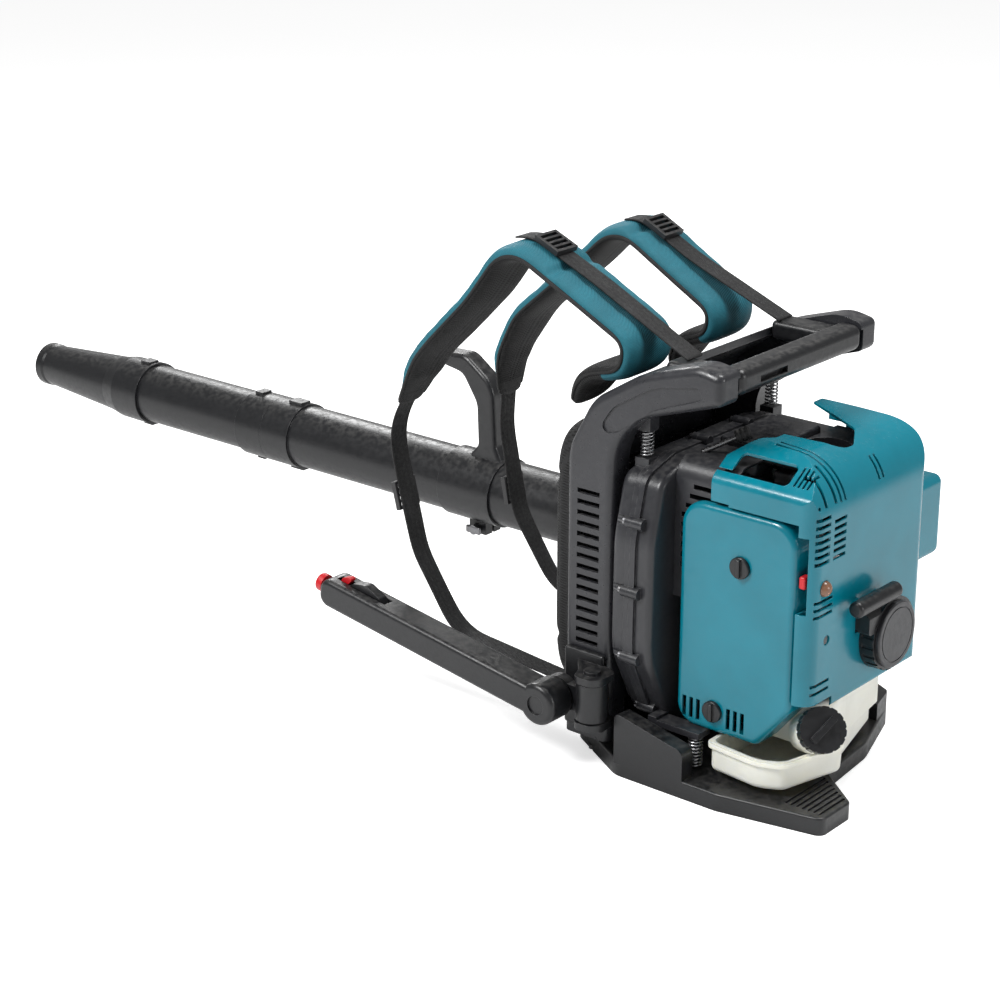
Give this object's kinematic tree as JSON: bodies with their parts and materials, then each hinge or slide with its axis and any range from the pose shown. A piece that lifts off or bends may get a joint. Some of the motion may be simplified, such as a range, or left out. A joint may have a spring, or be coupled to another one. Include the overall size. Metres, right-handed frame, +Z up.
{
  "type": "backpack leaf blower",
  "caption": "Petrol backpack leaf blower: harness frame on springs, four-stroke engine and fan, fuel tank, swivelling blow tube and throttle arm.",
  "frame": {"origin": "on the floor under the base plate, below the crankshaft's axis, at the seat named base_rest", "axes": "+Y the way the operator faces and the tube blows, +X the operator's right (the tube's side), +Z up"},
  "size_m": [0.4643, 1.625, 0.5641],
  "materials": {
    "black_plastic": "fine-grained moulded plastic, near black",
    "grey_plastic": "dark grey moulded plastic with a light sheen",
    "charcoal_frame": "charcoal moulded frame plastic",
    "teal_plastic": "glossy teal moulded plastic",
    "teal_fabric": "teal woven nylon",
    "black_fabric": "black mesh fabric over foam",
    "webbing": "black nylon webbing",
    "buckle_plastic": "black acetal",
    "tank_plastic": "translucent off-white blow-moulded plastic",
    "red_plastic": "red moulded plastic",
    "spring_steel": "zinc-plated spring wire",
    "screw_steel": "blackened steel screws",
    "forged_steel": "machined steel",
    "cast_aluminium": "as-cast aluminium",
    "black_rubber": "black rubber",
    "primer_clear": "translucent amber bulb",
    "filter_paper": "pleated filter paper and foam",
    "ceramic": "white insulator with a steel body",
    "muffler_steel": "aluminised steel sheet",
    "rope": "braided nylon starter rope"
  },
  "bodies": {
    "frame": {"base_plate": "black_plastic", "back_frame": "charcoal_frame", "carry_handle": "black_plastic", "back_pad": "black_fabric", "left_shoulder_pad": "teal_fabric", "right_shoulder_pad": "teal_fabric", "strap_webbing": "webbing", "strap_buckles": "buckle_plastic", "lower_springs": "spring_steel", "upper_springs": "spring_steel", "frame_screws": "screw_steel", "arm_bracket": "black_plastic"},
    "engine": {"fan_case_rear": "grey_plastic", "fan_case_front": "grey_plastic", "outlet_elbow": "black_plastic", "crankcase": "cast_aluminium", "crank_bearings": "forged_steel", "connecting_rod": "forged_steel", "piston": "cast_aluminium", "cylinder": "cast_aluminium", "rocker_cover": "cast_aluminium", "spark_plug": "ceramic", "plug_cap": "black_rubber", "engine_shroud": "grey_plastic", "engine_cover": "teal_plastic", "muffler": "muffler_steel", "muffler_guard": "teal_plastic", "carburettor": "cast_aluminium", "cleaner_base": "black_plastic", "air_filter": "filter_paper", "starter_case": "black_plastic", "starter_disc": "grey_plastic", "recoil_spring": "spring_steel", "starter_rope": "rope", "fuel_tank": "tank_plastic", "fuel_lines": "black_rubber", "engine_screws": "screw_steel"},
    "crank": {"crankshaft": "forged_steel", "flywheel": "cast_aluminium", "impeller": "grey_plastic"},
    "pulley": {"starter_pulley": "grey_plastic"},
    "pull_grip": {"starter_grip": "black_plastic"},
    "butterfly": {"throttle_butterfly": "forged_steel"},
    "choke": {"choke_lever": "red_plastic"},
    "primer": {"primer_bulb": "primer_clear"},
    "air_cover": {"cleaner_cover": "teal_plastic"},
    "upper_knob": {"upper_cover_knob": "black_plastic"},
    "lower_knob": {"lower_cover_knob": "black_plastic"},
    "tank_cap": {"fuel_cap": "black_plastic"},
    "hose": {"flexible_pipe": "black_rubber"},
    "tube": {"swivel_pipe": "black_plastic"},
    "hand_grip": {"pipe_handle": "black_plastic"},
    "wing_screw": {"clamp_screw": "screw_steel"},
    "second_tube": {"middle_pipe": "black_plastic"},
    "tip": {"nozzle": "black_plastic"},
    "knuckle": {"arm_knuckle": "black_plastic"},
    "arm": {"control_arm": "black_plastic"},
    "trigger": {"throttle_lever": "black_plastic"},
    "cruise": {"cruise_lever": "red_plastic"},
    "switch": {"stop_switch": "red_plastic"}
  },
  "joints": [
    {"name": "engine_float", "type": "slide", "parent": "frame", "child": "engine", "axis": [0, 0, 1], "range_m": [-0.003, 0.003], "stiffness_N_per_m": 60000, "springref_m": 0.0015, "deforming": ["lower_springs", "upper_springs"]},
    {"name": "crank_spin", "type": "hinge", "parent": "engine", "child": "crank", "pos_m": [0, 0, 0.172], "axis": [0, 1, 0], "continuous": true},
    {"name": "starter_pull", "type": "slide", "parent": "engine", "child": "pull_grip", "axis": [0, -0.7071, 0.7071], "range_m": [0, 0.8], "stiffness_N_per_m": 12, "springref_m": -0.4, "deforming": ["starter_rope"]},
    {"name": "starter_spin", "type": "hinge", "parent": "engine", "child": "pulley", "pos_m": [0, -0.1535, 0.172], "axis": [0, 1, 0], "range_deg": [0, 1620]},
    {"name": "throttle_spindle", "type": "hinge", "parent": "engine", "child": "butterfly", "pos_m": [-0.072, -0.084, 0.262], "axis": [0, 0, 1], "range_deg": [0, 76]},
    {"name": "choke_turn", "type": "hinge", "parent": "engine", "child": "choke", "pos_m": [-0.086, -0.135, 0.262], "axis": [0, 1, 0], "range_deg": [-30, 0]},
    {"name": "primer_press", "type": "slide", "parent": "engine", "child": "primer", "axis": [0, 1, 0], "range_m": [0, 0.004], "stiffness_N_per_m": 900, "springref_m": -0.001},
    {"name": "cover_off", "type": "slide", "parent": "engine", "child": "air_cover", "axis": [-1, 0, 0], "range_m": [0, 0.06]},
    {"name": "upper_knob_turn", "type": "hinge", "parent": "air_cover", "child": "upper_knob", "pos_m": [-0.138, -0.062, 0.262], "axis": [-1, 0, 0], "range_deg": [0, 720]},
    {"name": "lower_knob_turn", "type": "hinge", "parent": "air_cover", "child": "lower_knob", "pos_m": [-0.138, -0.033, 0.09], "axis": [-1, 0, 0], "range_deg": [0, 720]},
    {"name": "cap_turn", "type": "hinge", "parent": "engine", "child": "tank_cap", "pos_m": [-0.113, -0.153, 0.095], "axis": [-0.6, -0.65, 0.4663], "range_deg": [0, 360]},
    {"name": "pipe_pitch", "type": "hinge", "parent": "engine", "child": "hose", "pos_m": [0.192, 0.2, 0.117], "axis": [1, 0, 0], "range_deg": [-3, 25], "deforming": ["flexible_pipe"]},
    {"name": "pipe_sweep", "type": "hinge", "parent": "hose", "child": "tube", "pos_m": [0.192, 0.2, 0.117], "axis": [0, 0, 1], "range_deg": [-30, 5], "deforming": ["flexible_pipe"]},
    {"name": "grip_turn", "type": "hinge", "parent": "tube", "child": "hand_grip", "pos_m": [0.192, 0.567, 0.117], "axis": [0, 1, 0], "range_deg": [-30, 45]},
    {"name": "clamp_turn", "type": "hinge", "parent": "hand_grip", "child": "wing_screw", "pos_m": [0.192, 0.566, 0.06274], "axis": [1, 0, 0], "range_deg": [0, 720]},
    {"name": "front_coupling", "type": "hinge", "parent": "tube", "child": "second_tube", "pos_m": [0.192, 0.94, 0.117], "axis": [0, 1, 0], "range_deg": [0, 25]},
    {"name": "tip_coupling", "type": "hinge", "parent": "second_tube", "child": "tip", "pos_m": [0.192, 1.2, 0.117], "axis": [0, 1, 0], "range_deg": [0, 25]},
    {"name": "arm_swivel", "type": "hinge", "parent": "frame", "child": "knuckle", "pos_m": [-0.187, 0.092, 0.084], "axis": [0, 0, 1], "range_deg": [0, 60]},
    {"name": "arm_tilt", "type": "hinge", "parent": "knuckle", "child": "arm", "pos_m": [-0.207, 0.14, 0.076], "axis": [1, 0, 0], "range_deg": [-6, 45]},
    {"name": "throttle_squeeze", "type": "hinge", "parent": "arm", "child": "trigger", "pos_m": [-0.207, 0.38186, 0.11976], "axis": [1, 0, 0], "range_deg": [-16, 0], "stiffness_Nm_per_rad": 0.6, "springref_deg": 17.19},
    {"name": "cruise_set", "type": "hinge", "parent": "arm", "child": "cruise", "pos_m": [-0.207, 0.43902, 0.12968], "axis": [1, 0, 0], "range_deg": [-25, 0]},
    {"name": "stop_press", "type": "slide", "parent": "arm", "child": "switch", "axis": [0, -0.9881, -0.154], "range_m": [0, 0.0035], "stiffness_N_per_m": 1500, "springref_m": -0.001}
  ],
  "couplings": [
    {"joint": "starter_spin", "follows": "starter_pull", "rad_per_m": 35.026},
    {"joint": "throttle_spindle", "follows": "throttle_squeeze", "ratio": -4.7}
  ]
}
